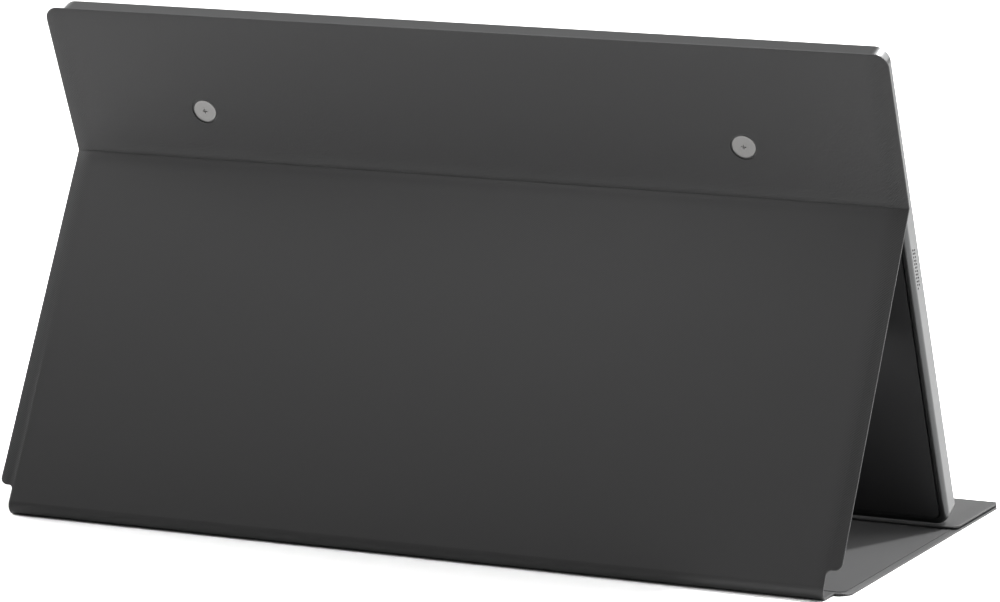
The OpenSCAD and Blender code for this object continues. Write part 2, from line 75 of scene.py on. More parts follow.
# Half the stretch of cloth that bends at the upper fold
UPPER_REACH = 2.5 * MM

# Widths of the stretches over which the panel's swelling fades above the neck, and the upper fold's
# swelling and crease fade towards the sides
NECK_FADE = 14 * MM
SIDE_FADE = 9 * MM

# How the cloth's thickness falls off towards a pressed rim, and its swelling beside the upper fold
RIM_POWER = 2.2
FOLD_POWER = 1.4

# Mesh lines beside a rim as parts of the pressed margin, and beside the upper fold as parts of its swelling
MARGIN_PARTS = (0.13, 0.27, 0.43, 0.6, 0.8, 1.0, 1.25)
FOLD_PARTS = (0.35, 0.5, 0.65, 0.8, 1.0)

CORNER_SEGMENTS = 8
EDGE_SEGMENTS = 3
HOLE_SEGMENTS = 64
LOOP_STEPS = 14
LOOP_WALL = 0.5 * MM

# Angles in degrees: edges sharper than these are bevelled, or left sharp by the shading
BEVEL_PAST = 50
SHARP_PAST = 40

# Distances below which two places count as the same
CUT_THRESHOLD = 1e-7
SAME_PLACE = 1e-6
PAST_NECK = 1e-4

# Pitches of the finest patterns in the finishes
RIB_PITCH = 1.1 * MM
THREAD_PITCH = 0.55 * MM
DOT_PITCH = 0.18 * MM
TRACE_ROWS = 1.2 * MM
TRACE_COLUMNS = 1.6 * MM

# The stretch beside the cover's side edges over which the weave comes to show and painted shade darkens the
# cloth, measured from the edge
WEAVE_SHADE_FROM = 11 * MM
WEAVE_SHADE_TO = 4 * MM


def high(node):
    """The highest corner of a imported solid."""
    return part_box(node)[1]


def low(node):
    """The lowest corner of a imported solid."""
    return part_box(node)[0]


SHEET_T = high("base_skin").z
COVER_HALF = high("upper_skin").x
NECK_HALF = high("spine_skin").x
FLAP_HALF = high("flap_skin").x
FLAP_BACK = high("flap_skin").y
BASE_FRONT = low("base_skin").y


# Sizes and colours that a user would change


def length(name, description, default):
    """A length that shows in the sidebar."""
    return FloatProperty(name=name, description=description, default=default, unit="LENGTH")


def angle(name, description, default):
    """An angle, given here in degrees, that shows in the sidebar."""
    return FloatProperty(
        name=name, description=description, default=math.radians(default), subtype="ANGLE"
    )


def colour(name, description, default):
    """A colour that shows in the sidebar."""
    return FloatVectorProperty(
        name=name, description=description, default=default, subtype="COLOR", min=0, max=1
    )


class CoverSizes(bpy.types.PropertyGroup):
    """Sizes of the woven cover."""

    lean: angle("Monitor lean", "Lean of the monitor from upright", 23.1)
    rim_t: length("Rim thickness", "Thickness of a panel at its pressed rim", 0.75 * MM)
    margin: length("Pressed margin", "Width over which a panel thins towards its rim", 7 * MM)
    flap_thin: length("Flap rim", "How much thinner the flap is at its rims", 0.25 * MM)
    swell: length("Panel swell", "How far the cloth stands up in the middle of a panel", 0.4 * MM)
    hem: length("Hem", "Width of the cloth that is turned in around a lining", 2.5 * MM)
    lining_out: length("Lining height", "How far a lining stands above the turned-in skin", 0.2 * MM)
    top_corner: length("Top corner radius", "Radius of the upper panel's top corners", 5.5 * MM)
    shoulder_corner: length("Shoulder radius", "Radius of the strut's lower corners", 2.9 * MM)
    neck_fillet: length("Neck fillet", "Radius where a panel narrows to the neck", 1.9 * MM)
    front_corner: length("Front corner radius", "Radius of the corners beside the front fold", 0.7 * MM)
    flap_out: length("Flap overhang", "How far the flap's cloth stands out past its solid", 0.8 * MM)
    neck_out: length("Neck overhang", "How far the neck's cloth stands out past its solid", 0.7 * MM)
    shoulder_back: length("Shoulder setback", "Distance of the strut's lower edge above its fold", 0.2 * MM)
    neck_reach: length("Neck reach", "Length of the neck on the base, in front of the rear fold", 6.8 * MM)
    edge_round: length("Edge rounding", "Rounding of the panels' edges", 0.28 * MM)
    upper_bend: length("Upper bend", "Bend radius of the cloth's middle at the upper fold", 1.7 * MM)
    rear_bend: length("Rear bend", "Bend radius of the cloth's middle at the table", 3.35 * MM)
    fold_swell: length("Fold swell", "How far the cloth swells beside the upper fold", 0.5 * MM)
    fold_reach: length("Fold reach", "Width of that swelling on each side", 7 * MM)
    crease_deep: length("Crease depth", "Depth of the crease in the upper fold", 0.12 * MM)
    crease_w: length("Crease width", "Half width of that crease", 0.7 * MM)
    bend_rows: IntProperty(
        name="Rows in a bend", description="Mesh rows in each fold", default=10, min=4, max=24
    )


class Colours(bpy.types.PropertyGroup):
    """Colours of the finishes."""

    cloth: colour("Cloth", "Woven outer skin", (0.0112, 0.0112, 0.0114))
    lining: colour("Lining", "Smooth inner lining", (0.0348, 0.0348, 0.0352))
    metal: colour("Metal", "Blasted and anodised aluminium", (0.051, 0.0516, 0.052))
    case: colour("Case back", "Black back of the case", (0.0083, 0.0083, 0.0086))
    border: colour("Border", "Dark border around the screen", (0.008, 0.008, 0.009))
    screw: colour("Screw", "Bright screws", (0.175, 0.173, 0.17))
    floor: colour("Floor", "Pale floor", (0.82, 0.82, 0.82))


class StageSizes(bpy.types.PropertyGroup):
    """Camera and lights."""

    camera_place: FloatVectorProperty(
        name="Camera place", description="Where the camera stands", default=(-0.8116, 1.736957, 0.4289),
        subtype="TRANSLATION", unit="LENGTH",
    )
    camera_azimuth: angle("Camera azimuth", "Direction of the view around the vertical", 25.039)
    camera_tilt: angle("Camera tilt", "How far the camera looks down", 10.158)
    lens: FloatProperty(
        name="Lens", description="Focal length in millimetres", default=176.21, min=20, max=400
    )
    floor_w: length("Floor width", "Width of the floor", 16)
    world_light: FloatProperty(
        name="World light", description="Strength of the soft light all around", default=0.14
    )


# Tools for shaping


def start_fresh():
    """Leaves edit mode and deselects everything."""
    if bpy.context.mode != "OBJECT":
        bpy.ops.object.mode_set(mode="OBJECT")
    bpy.ops.object.select_all(action="DESELECT")


def take(piece):
    """Makes a piece the only one selected."""
    start_fresh()
    piece.select_set(True)
    bpy.context.view_layer.objects.active = piece


def choose(piece, kind, test):
    """Enters edit mode on a piece with only the corners, edges or faces selected that pass a test."""
    take(piece)
    mesh = piece.data
    for group in (mesh.vertices, mesh.edges, mesh.polygons):
        for item in group:
            item.select = False
    if kind == "VERT":
        for item in mesh.vertices:
            item.select = test(item.co)
    if kind == "EDGE":
        for item in mesh.edges:
            item.select = all(test(mesh.vertices[i].co) for i in item.vertices)
    if kind == "FACE":
        for item in mesh.polygons:
            item.select = test(item.center, item.normal)
    bpy.context.tool_settings.mesh_select_mode = (kind == "VERT", kind == "EDGE", kind == "FACE")
    bpy.ops.object.mode_set(mode="EDIT")


def choose_all(piece):
    """Enters edit mode with everything selected."""
    take(piece)
    bpy.ops.object.mode_set(mode="EDIT")
    bpy.ops.mesh.select_all(action="SELECT")


def done(piece):
    """Leaves edit mode and hands the piece on."""
    bpy.ops.object.mode_set(mode="OBJECT")
    return piece


def cut(piece, place, normal, clear_front=False, clear_back=False):
    """Cuts a piece along a plane, and may clear and close one side of it."""
    choose_all(piece)
    bpy.ops.mesh.bisect(
        plane_co=place, plane_no=normal, use_fill=clear_front or clear_back,
        clear_outer=clear_front, clear_inner=clear_back, threshold=CUT_THRESHOLD,
    )
    return done(piece)


def finish_with(piece, kind, **settings):
    """Adds a modifier to a piece and applies it."""
    take(piece)
    modifier = piece.modifiers.new(kind.title(), kind)
    for key, value in settings.items():
        setattr(modifier, key, value)
    bpy.ops.object.modifier_apply(modifier=modifier.name)
    return piece


def smooth(piece):
    """Smooth shading, with sharp edges past an angle."""
    take(piece)
    bpy.ops.object.shade_smooth_by_angle(angle=math.radians(SHARP_PAST))
    return piece


def tidy_normals(piece):
    """Merges doubles and turns the faces outwards."""
    choose_all(piece)
    bpy.ops.mesh.remove_doubles(threshold=SAME_PLACE)
    bpy.ops.mesh.normals_make_consistent(inside=False)
    return done(piece)


def copy_of(piece, name):
    """A copy with its own mesh."""
    twin = piece.copy()
    twin.data = piece.data.copy()
    twin.name = name
    twin.data.name = name
    bpy.context.scene.collection.objects.link(twin)
    return twin


def settle(piece):
    """Applies place, turn and scale, so that the piece's object sits at the origin."""
    take(piece)
    bpy.ops.object.transform_apply(location=True, rotation=True, scale=True)
    return piece


def panel(name, half_w, length_y, middle_y=0.0):
    """A flat plane of the given half width and length."""
    start_fresh()
    bpy.ops.mesh.primitive_plane_add(size=1, location=(0, middle_y, 0))
    piece = bpy.context.object
    piece.name = name
    piece.data.name = name
    piece.scale = (2 * half_w, length_y, 1)
    return settle(piece)


def round_corners(piece, test, radius):
    """Rounds the corners of a flat piece that pass a test."""
    choose(piece, "VERT", test)
    bpy.ops.mesh.bevel(
        offset=radius, offset_type="OFFSET", segments=CORNER_SEGMENTS, affect="VERTICES", clamp_overlap=False
    )
    return done(piece)


def ease(value):
    """A smooth step from 0 to 1."""
    value = min(max(value, 0.0), 1.0)
    return value * value * (3 - 2 * value)


# The cover as one flat pattern that is bent along its folds. In the pattern X runs across, -Y runs
# down the cover from the upper panel's top edge, and +Z is the outer side.


class CoverPath:
    """The middle of the cover's sheet, seen from the side, from its top edge down and round to the front.

    Corners, bends (their radii), turns and reaches (half the length of each bend) have one entry for each
    of the top edge, the upper fold, the heel and the front edge, and marks has their distances along the
    sheet. Shoulder, curl and rear are the distances of the strut's lower edge, of the line where the heel's
    bend starts and of the rear fold.
    """

    def __init__(self, sizes):
        up = Vector((math.sin(sizes.lean), math.cos(sizes.lean)))
        rise = high("upper_skin").z - FOLDS["upper_fold"].y - SHEET_T / 2 * up.x
        top = FOLDS["upper_fold"] + up * rise / up.y
        down = FOLDS["shoulder_fold"] - FOLDS["upper_fold"]
        heel = FOLDS["upper_fold"] + down * ((FOLDS["rear_fold"].y - FOLDS["upper_fold"].y) / down.y)
        front = Vector((BASE_FRONT, FOLDS["rear_fold"].y))
        self.corners = [top, FOLDS["upper_fold"], heel, front]
        self.bends = [0, sizes.upper_bend, sizes.rear_bend, 0]
        self.headings = [
            math.atan2((b - a).y, (b - a).x) for a, b in zip(self.corners, self.corners[1:])
        ]
        self.marks = [0.0]
        for a, b in zip(self.corners, self.corners[1:]):
            self.marks.append(self.marks[-1] + (b - a).length)
        self.turns = [0.0]
        for a, b in zip(self.headings, self.headings[1:]):
            self.turns.append((b - a + math.pi) % (2 * math.pi) - math.pi)
        self.turns.append(0.0)
        self.reaches = [radius * math.tan(abs(turn) / 2) for radius, turn in zip(self.bends, self.turns)]
        self.shoulder = self.marks[1] + down.length
        self.curl = self.marks[2] - self.reaches[2]
        self.rear = self.marks[2] + (heel - FOLDS["rear_fold"]).length

    def at(self, run):
        """Place and outward direction, as (Y, Z) pairs, at a distance along the cover."""
        for i in (1, 2):
            if abs(run - self.marks[i]) < self.reaches[i]:
                return self.in_bend(i, (run - self.marks[i] + self.reaches[i]) / (2 * self.reaches[i]))
        leg = sum(run > mark for mark in self.marks[1:-1])
        way = Vector((math.cos(self.headings[leg]), math.sin(self.headings[leg])))
        return self.corners[leg] + way * (run - self.marks[leg]), Vector((-way.y, way.x))

    def in_bend(self, i, part):
        """The same inside a bend, with part from 0 at its start to 1 at its end."""
        first = self.headings[i - 1]
        now = first + self.turns[i] * part
        radius = math.copysign(self.bends[i], self.turns[i])
        start = self.corners[i] - Vector((math.cos(first), math.sin(first))) * self.reaches[i]
        curl = Vector((math.sin(now) - math.sin(first), math.cos(first) - math.cos(now)))
        return start + curl * radius, Vector((-math.sin(now), math.cos(now)))


def margin_steps(sizes):
    """Distances from a panel's edge at which its mesh gets a line."""
    return [sizes.margin * part for part in MARGIN_PARTS]


def pressed(distance, sizes):
    """How full a panel is at a distance from its edge, from 0 at the edge to 1 past the margin."""
    part = min(max(distance / sizes.margin, 0.0), 1.0)
    return 1 - (1 - part) ** RIM_POWER


def flat_cover(sizes, path):
    """The whole cover but its flap, flat and with its thickness."""
    half = NECK_HALF + sizes.neck_out
    neck_top = path.shoulder - sizes.shoulder_back
    neck_end = path.rear + sizes.neck_reach
    end = path.marks[3]
    piece = panel("cover_pattern", COVER_HALF, end, -end / 2)
    cut(piece, (0, -neck_top, 0), (0, 1, 0))
    cut(piece, (0, -neck_end, 0), (0, 1, 0))
    cut(piece, (half, 0, 0), (1, 0, 0))
    cut(piece, (-half, 0, 0), (1, 0, 0))

    def beside_neck(middle, normal):
        return -neck_end < middle.y < -neck_top and abs(middle.x) > half

    choose(piece, "FACE", beside_neck)
    bpy.ops.mesh.delete(type="FACE")
    bpy.ops.mesh.select_all(action="SELECT")
    bpy.ops.mesh.dissolve_limited(angle_limit=math.radians(1))
    done(piece)

    def corner(wide, *runs):
        """A test for the corners outside the neck's width, or inside it, at some distances down the cover."""

        def test(co):
            beyond = abs(co.x) > half + PAST_NECK
            return beyond == wide and any(abs(co.y + run) < SAME_PLACE for run in runs)

        return test

    round_corners(piece, corner(True, 0), sizes.top_corner)
    round_corners(piece, corner(True, neck_top), sizes.shoulder_corner)
    round_corners(piece, corner(True, neck_end), sizes.top_corner)
    round_corners(piece, corner(True, end), sizes.front_corner)
    round_corners(piece, corner(False, neck_top, neck_end), sizes.neck_fillet)
    for step in margin_steps(sizes):
        for side in (-1, 1):
            cut(piece, (side * (COVER_HALF - step), 0, 0), (1, 0, 0))
        cut(piece, (0, -step, 0), (0, 1, 0))
    for i in (1, 2):
        for row in range(sizes.bend_rows + 1):
            step = path.reaches[i] * (2 * row / sizes.bend_rows - 1)
            cut(piece, (0, -path.marks[i] + step, 0), (0, 1, 0))
    for part in FOLD_PARTS:
        for side in (-1, 1):
            cut(piece, (0, -path.marks[1] + side * part * sizes.fold_reach, 0), (0, 1, 0))
    thickness = SHEET_T - sizes.lining_out
    finish_with(piece, "SOLIDIFY", thickness=thickness, offset=0, use_even_offset=True)
    finish_with(
        piece, "BEVEL", width=sizes.edge_round, segments=EDGE_SEGMENTS, limit_method="ANGLE",
        angle_limit=math.radians(BEVEL_PAST), use_clamp_overlap=False,
    )
    for vertex in piece.data.vertices:
        vertex.co.z += sizes.lining_out / 2
    return piece


def shape_flat_cover(piece, sizes, path):
    """Swells the panels, thins their hems from within, and creases the cloth at the upper fold."""
    bottom = sizes.lining_out - SHEET_T / 2
    thickness = SHEET_T - sizes.lining_out
    for vertex in piece.data.vertices:
        run = -vertex.co.y
        side = COVER_HALF - abs(vertex.co.x)
        height = (vertex.co.z - bottom) / thickness
        fade = 1 - ease((run - path.shoulder + NECK_FADE) / NECK_FADE)
        full = sizes.swell * pressed(side, sizes) * pressed(run, sizes) * fade
        away = abs(run - path.marks[1])
        puff = sizes.fold_swell * (1 - ease(away / sizes.fold_reach)) ** FOLD_POWER
        crease = sizes.crease_deep * math.exp(-((away / sizes.crease_w) ** 2))
        rim = min(side, run, sizes.hem)
        thin = (thickness - sizes.rim_t) * (1 - ease(rim / sizes.hem))
        fold = (puff - crease) * ease(side / SIDE_FADE)
        vertex.co.z += (full + fold) * height + thin * (1 - height)
    return piece


def cut_screw_holes(piece, path):
    """The two round openings for the screws' collars."""
    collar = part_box("screw_collars")
    up = (path.corners[0] - path.corners[1]).normalized()
    middle = Vector(((collar[0].y + collar[1].y) / 2, (collar[0].z + collar[1].z) / 2))
    run = path.marks[1] - (middle - path.corners[1]).dot(up)
    reach = (collar[1].z - collar[0].z - SHEET_T * up.x) / 2 / up.y
    for side in (-1, 1):
        start_fresh()
        bpy.ops.mesh.primitive_cylinder_add(
            vertices=HOLE_SEGMENTS, radius=reach, depth=4 * SHEET_T,
            location=(side * (collar[1].x - reach), -run, 0),
        )
        cutter = settle(bpy.context.object)
        finish_with(piece, "BOOLEAN", operation="DIFFERENCE", object=cutter, solver="EXACT")
        bpy.data.objects.remove(cutter)
    return piece


def line_neck(piece, material, sizes, path):
    """Gives the inner side of the neck its lining."""
    piece.data.materials.append(material)
    half = NECK_HALF - sizes.hem + sizes.neck_out
    end = path.marks[2] + path.reaches[2]
    for face in piece.data.polygons:
        inside = face.normal.z < -0.7 and abs(face.center.x) < half
        face.material_index = int(inside and path.shoulder < -face.center.y < end)


def keep_pattern(piece):
    """Keeps the flat pattern as the piece's UV map, in metres, so that the weave follows the cloth."""
    layer = piece.data.uv_layers.new(name="weave")
    for loop in piece.data.loops:
        layer.data[loop.index].uv = piece.data.vertices[loop.vertex_index].co.xy
    return piece


def cover_part(master, name, path, first, last):
    """A stretch of the flat cover, bent along the path."""
    piece = copy_of(master, name)
    if first > 0:
        cut(piece, (0, -first, 0), (0, 1, 0), clear_front=True)
    if last < path.marks[3]:
        cut(piece, (0, -last, 0), (0, 1, 0), clear_back=True)
    keep_pattern(piece)
    for vertex in piece.data.vertices:
        place, out = path.at(-vertex.co.y)
        place = place + out * vertex.co.z
        vertex.co = (-vertex.co.x, place.x, place.y)
    return smooth(piece)


def in_side(place):
    """A place in the side view, as a point in the middle of the cover."""
    return (0, place.x, place.y)


# Materials. A Wire is one output of a node, and arithmetic on it adds Math nodes.


class Wire:
    """One output of a node in a material."""

    def __init__(self, look, socket):
        self.look = look
        self.socket = socket

    def math(self, operation, *others):
        """A Math node on this value and others."""
        return self.look.node("ShaderNodeMath", {"operation": operation}, dict(enumerate((self, *others))))

    def __add__(self, other):
        return self.math("ADD", other)

    __radd__ = __add__

    def __mul__(self, other):
        return self.math("MULTIPLY", other)

    __rmul__ = __mul__

    def __sub__(self, other):
        return self.math("SUBTRACT", other)

    def __rsub__(self, other):
        return (self * -1) + other

    def sine(self):
        return self.math("SINE")

    def absolute(self):
        return self.math("ABSOLUTE")

    def within(self, start, end):
        """0 at start and before, 1 at end and past it, smooth between."""
        return self.look.node(
            "ShaderNodeMapRange", {"interpolation_type": "SMOOTHSTEP"},
            {"Value": self, "From Min": start, "From Max": end},
        )

    def wave(self, pitch):
        """A sine that repeats at a pitch."""
        return (self * (2 * math.pi / pitch)).sine()


class Look:
    """A material under construction."""

    def __init__(self, name, colour_value, roughness, metallic=0.0, **sockets):
        self.material = bpy.data.materials.new(name)
        self.material.use_nodes = True
        self.tree = self.material.node_tree
        self.shader = self.tree.nodes["Principled BSDF"]
        self.set("Base Color", (*colour_value, 1))
        self.set("Roughness", roughness)
        self.set("Metallic", metallic)
        for socket, value in sockets.items():
            self.set(socket.replace("_", " "), value)
        self.material.diffuse_color = (*colour_value, 1)

    def set(self, name, value):
        """Sets or links one socket of the shader."""
        self.plug(self.shader.inputs[name], value)

    def plug(self, socket, value):
        """Links a Wire to a socket, or sets the socket to a plain value."""
        if isinstance(value, Wire):
            self.tree.links.new(value.socket, socket)
        else:
            socket.default_value = value

    def node(self, kind, settings=None, sockets=None, out=0):
        """A new node with its settings and sockets, as the Wire of one output."""
        made = self.tree.nodes.new(kind)
        for key, value in (settings or {}).items():
            setattr(made, key, value)
        for key, value in (sockets or {}).items():
            self.plug(made.inputs[key], value)
        return Wire(self, made.outputs[out])

    def place(self, scale=(1, 1, 1)):
        """Object coordinates, scaled."""
        raw = self.node("ShaderNodeTexCoord", out="Object")
        return self.node("ShaderNodeMapping", {}, {"Vector": raw, "Scale": scale})

    def parts(self, vector):
        """The three numbers of a vector."""
        split = self.node("ShaderNodeSeparateXYZ", {}, {0: vector}).socket.node
        return [Wire(self, out) for out in split.outputs]

    def noise(self, vector, scale, detail):
        """Noise around one half."""
        return self.node("ShaderNodeTexNoise", {}, {"Vector": vector, "Scale": scale, "Detail": detail})

    def mixed(self, factor, first, second):
        """A colour between two colours."""
        made = self.tree.nodes.new("ShaderNodeMix")
        made.data_type = "RGBA"
        self.plug(made.inputs[0], factor)
        for socket, value in ((made.inputs[6], first), (made.inputs[7], second)):
            self.plug(socket, value if isinstance(value, Wire) or len(value) == 4 else (*value, 1))
        return Wire(self, made.outputs[2])

    def bump(self, height, distance, strength):
        """Feeds a height to the shader's normal."""
        sockets = {"Height": height, "Distance": distance, "Strength": strength}
        self.set("Normal", self.node("ShaderNodeBump", {}, sockets))

    def put_on(self, *objects):
        """Gives this material to whole objects."""
        for item in objects:
            item.data.materials.clear()
            item.data.materials.append(self.material)


def scaled(colour_value, factor):
    """A colour made lighter or darker."""
    return tuple(min(1.0, channel * factor) for channel in colour_value)


def cloth_look(name, colours):
    """Woven cloth: diagonal ribs that show most beside the cover's side edges, uneven fibres, and painted
    shade that darkens the cloth beside those edges.
    """
    look = Look(name, colours.cloth, 0.62, Specular_IOR_Level=0.34)
    flat = look.node("ShaderNodeUVMap", {"uv_map": "weave"})
    across, down, _ = look.parts(flat)
    ribs = (across - down).wave(RIB_PITCH) * 0.5 + 0.5
    threads = (across + down).wave(THREAD_PITCH) * 0.5 + 0.5
    weave = ribs * 0.7 + ribs * threads * 0.3
    fibres = look.noise(flat, 2600, 2)
    broad = look.noise(flat, 18, 2)
    rim = across.absolute().within(COVER_HALF - WEAVE_SHADE_FROM, COVER_HALF - WEAVE_SHADE_TO)
    contrast = rim * 0.6 + 0.06
    # The rim * 0.2 term is painted shade: the cloth's colour is darker beside the side edges, where the
    # pressed rims turn away from the light
    tone = (weave - 0.5) * contrast + (fibres - 0.5) * 0.16 + (broad - 0.5) * 0.05 - rim * 0.2 + 0.5
    look.set("Base Color", look.mixed(tone, scaled(colours.cloth, 0.4), scaled(colours.cloth, 1.6)))
    look.set("Roughness", (fibres - 0.5) * 0.2 + 0.6)
    look.bump(weave * (rim * 1.6 + 0.6) + fibres * 0.4, 0.05 * MM, 0.5)
    return look


def lining_look(name, colours):
    """Smooth fine lining with a short pile."""
    look = Look(name, colours.lining, 0.8, Specular_IOR_Level=0.05)
    place = look.place()
    pile = look.noise(place, 2200, 2)
    cloud = look.noise(place, 30, 3)
    tone = (pile - 0.5) * 0.35 + (cloud - 0.5) * 0.12 + 0.5
    look.set("Base Color", look.mixed(tone, scaled(colours.lining, 0.6), scaled(colours.lining, 1.4)))
    look.set("Roughness", (pile - 0.5) * 0.2 + 0.78)
    look.bump(pile, 0.03 * MM, 0.6)
    return look


def metal_look(name, colours):
    """Blasted and anodised aluminium."""
    look = Look(name, colours.metal, 0.38, 1.0)
    place = look.place()
    grain = look.noise(place, 3800, 2)
    cloud = look.noise(place, 14, 2)
    tone = (grain - 0.5) * 0.12 + (cloud - 0.5) * 0.08 + 0.5
    look.set("Base Color", look.mixed(tone, scaled(colours.metal, 0.8), scaled(colours.metal, 1.2)))
    look.set("Roughness", (grain - 0.5) * 0.12 + (cloud - 0.5) * 0.05 + 0.38)
    look.bump(grain, 0.006 * MM, 0.35)
    return look


def moulded_look(name, colour_value, roughness, grain_size=0.5 * MM, deep=0.02 * MM, specular=0.5):
    """Moulded or painted surface with a fine grain."""
    look = Look(name, colour_value, roughness, Specular_IOR_Level=specular)
    place = look.place()
    grain = look.noise(place, 1 / grain_size, 3)
    cloud = look.noise(place, 25, 3)
    tone = (grain - 0.5) * 0.2 + (cloud - 0.5) * 0.15 + 0.5
    look.set("Base Color", look.mixed(tone, scaled(colour_value, 0.75), scaled(colour_value, 1.25)))
    look.set("Roughness", (grain - 0.5) * 0.12 + (cloud - 0.5) * 0.08 + roughness)
    look.bump(grain, deep, 0.4)
    return look


def brushed_look(name, colour_value, roughness, way=(1, 60, 60)):
    """Metal with fine drawn lines."""
    look = Look(name, colour_value, roughness, 1.0)
    lines = look.noise(look.place(scale=way), 90, 3)
    cloud = look.noise(look.place(), 60, 2)
    tone = (lines - 0.5) * 0.3 + (cloud - 0.5) * 0.12 + 0.5
    look.set("Base Color", look.mixed(tone, scaled(colour_value, 0.75), scaled(colour_value, 1.25)))
    look.set("Roughness", (lines - 0.5) * 0.2 + roughness)
    look.bump(lines, 0.01 * MM, 0.3)
    return look


def turned_look(name, colour_value, roughness):
    """Screw metal with a turned, satin face."""
    look = Look(name, colour_value, roughness, 1.0)
    place = look.place()
    grain = look.noise(place, 5000, 2)
    cloud = look.noise(place, 260, 2)
    tone = (grain - 0.5) * 0.16 + (cloud - 0.5) * 0.16 + 0.5
    look.set("Base Color", look.mixed(tone, scaled(colour_value, 0.75), scaled(colour_value, 1.25)))
    look.set("Roughness", (grain - 0.5) * 0.15 + (cloud - 0.5) * 0.1 + roughness)
    look.bump(grain, 0.005 * MM, 0.3)
    return look


def board_look(name, colour_value):
    """Circuit board with traces under its lacquer."""
    look = Look(name, colour_value, 0.35, Specular_IOR_Level=0.5)
    across, _, up = look.parts(look.place())
    rows = (across.wave(TRACE_ROWS) - 0.55).within(0, 0.1)
    columns = (up.wave(TRACE_COLUMNS) - 0.55).within(0, 0.1)
    fields = look.noise(look.place(), 240, 0).within(0.48, 0.52)
    traces = rows * fields + columns * (1 - fields)
    look.set("Base Color", look.mixed(traces, colour_value, scaled(colour_value, 1.7)))
    look.set("Roughness", traces * 0.1 + 0.32)
    look.bump(traces, 0.02 * MM, 0.4)
    return look


def screen_look(name):
    """Dark glass cell with an anti-glare face and its fine grid of dots."""
    look = Look(name, (0.006, 0.006, 0.0075), 0.32, Specular_IOR_Level=0.16)
    across, _, up = look.parts(look.place())
    grid = across.wave(DOT_PITCH).absolute() * up.wave(DOT_PITCH).absolute()
    haze = look.noise(look.place(), 12, 2)
    tone = grid * 0.4 + haze * 0.2
    look.set("Base Color", look.mixed(tone, (0.004, 0.004, 0.005), (0.012, 0.012, 0.015)))
    look.set("Roughness", haze * 0.05 + 0.3)
    look.bump(haze, 0.01 * MM, 0.1)
    return look


# Operators, one for each piece or group of pieces


class BuildCover(bpy.types.Operator):
    """Upper panel, strut, neck and base of the woven cover, bent along the folds"""

    bl_idname = "monitor.cover"
    bl_label = "Cover"

    def execute(self, context):
        sizes = context.scene.cover_sizes
        path = CoverPath(sizes)
        master = shape_flat_cover(flat_cover(sizes, path), sizes, path)
        cut_screw_holes(master, path)
        cloth = cloth_look("woven_cloth", context.scene.monitor_colours)
        lining = lining_look("fine_lining", context.scene.monitor_colours)
        cloth.put_on(master)
        line_neck(master, lining.material, sizes, path)
        top = cover_part(master, "cloth_top", path, 0, path.curl)
        bottom = cover_part(master, "cloth_bottom", path, path.curl, path.marks[3])
        bpy.data.objects.remove(master)
        ways = [(a - b).normalized() for a, b in zip(path.corners, path.corners[1:])]
        way = (ways[0] + ways[1]).normalized() * UPPER_REACH
        middle = FOLDS["upper_fold"]
        in_side(middle - way)
        in_side(middle + way)
        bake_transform(top)
        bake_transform(bottom)
        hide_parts("upper_skin", "strut_skin")
        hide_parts("spine_skin", "spine_lining", "base_skin")
        return {"FINISHED"}


class BuildFlap(bpy.types.Operator):
    """Front flap of the cover, folded back on the base, and the cloth loop of its fold"""

    bl_idname = "monitor.flap"
    bl_label = "Flap"

    def execute(self, context):
        sizes = context.scene.cover_sizes
        run = FLAP_BACK - BASE_FRONT
        half = FLAP_HALF + sizes.flap_out
        flap = panel("flap_cloth", half, run, BASE_FRONT + run / 2)
        round_corners(flap, lambda co: co.y > BASE_FRONT + run / 2, sizes.top_corner)
        round_corners(flap, lambda co: co.y < BASE_FRONT + sizes.edge_round, sizes.front_corner)
        for step in margin_steps(sizes):
            for side in (-1, 1):
                cut(flap, (side * (half - step), 0, 0), (1, 0, 0))
            cut(flap, (0, FLAP_BACK - step, 0), (0, 1, 0))
        lowest, highest = low("flap_skin").z, high("flap_skin").z
        finish_with(flap, "SOLIDIFY", thickness=highest - lowest - sizes.lining_out, offset=0)
        finish_with(
            flap, "BEVEL", width=sizes.edge_round, segments=EDGE_SEGMENTS, limit_method="ANGLE",
            angle_limit=math.radians(BEVEL_PAST),
        )
        lift = (lowest + sizes.lining_out + highest) / 2
        for vertex in flap.data.vertices:
            full = pressed(half - abs(vertex.co.x), sizes) * pressed(FLAP_BACK - vertex.co.y, sizes)
            if vertex.co.z > 0:
                vertex.co.z -= sizes.flap_thin * (1 - full)
            vertex.co.z += lift
        keep_pattern(flap)
        smooth(flap)
        loop = self.fold_loop(half - sizes.front_corner, highest)
        cloth = bpy.data.materials["woven_cloth"]
        for piece in (flap, loop):
            piece.data.materials.append(cloth)
        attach(flap, "flap")
        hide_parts("flap_skin")
        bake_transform(loop)
        return {"FINISHED"}

    def fold_loop(self, half, highest):
        """The round loop of cloth that joins the base's front edge to the flap."""
        loop = panel("front_fold_cloth", half, LOOP_WALL)
        for vertex in loop.data.vertices:
            vertex.co = (vertex.co.x, BASE_FRONT, vertex.co.y + LOOP_WALL / 2)
        choose_all(loop)
        bpy.ops.mesh.spin(
            steps=LOOP_STEPS, angle=math.pi, center=(0, BASE_FRONT, highest / 2), axis=(1, 0, 0),
            use_auto_merge=False,
        )
        done(loop)
        tidy_normals(loop)
        keep_pattern(loop)
        return smooth(loop)


class FinishLinings(bpy.types.Operator):
    """Linings and the boards inside the panels"""

    bl_idname = "monitor.linings"
    bl_label = "Linings"

    def execute(self, context):
        nodes = frame["nodes"]
        panels = ("upper", "strut", "base", "flap")
        for name in panels:
            nodes[name + "_lining"].data.materials.clear()
            nodes[name + "_lining"].data.materials.append(bpy.data.materials["fine_lining"])
        board = moulded_look("grey_board", (0.25, 0.215, 0.16), 0.85, 1.2 * MM, 0.03 * MM, 0.2)
        board.put_on(*(nodes[name + "_board"] for name in panels))
        return {"FINISHED"}


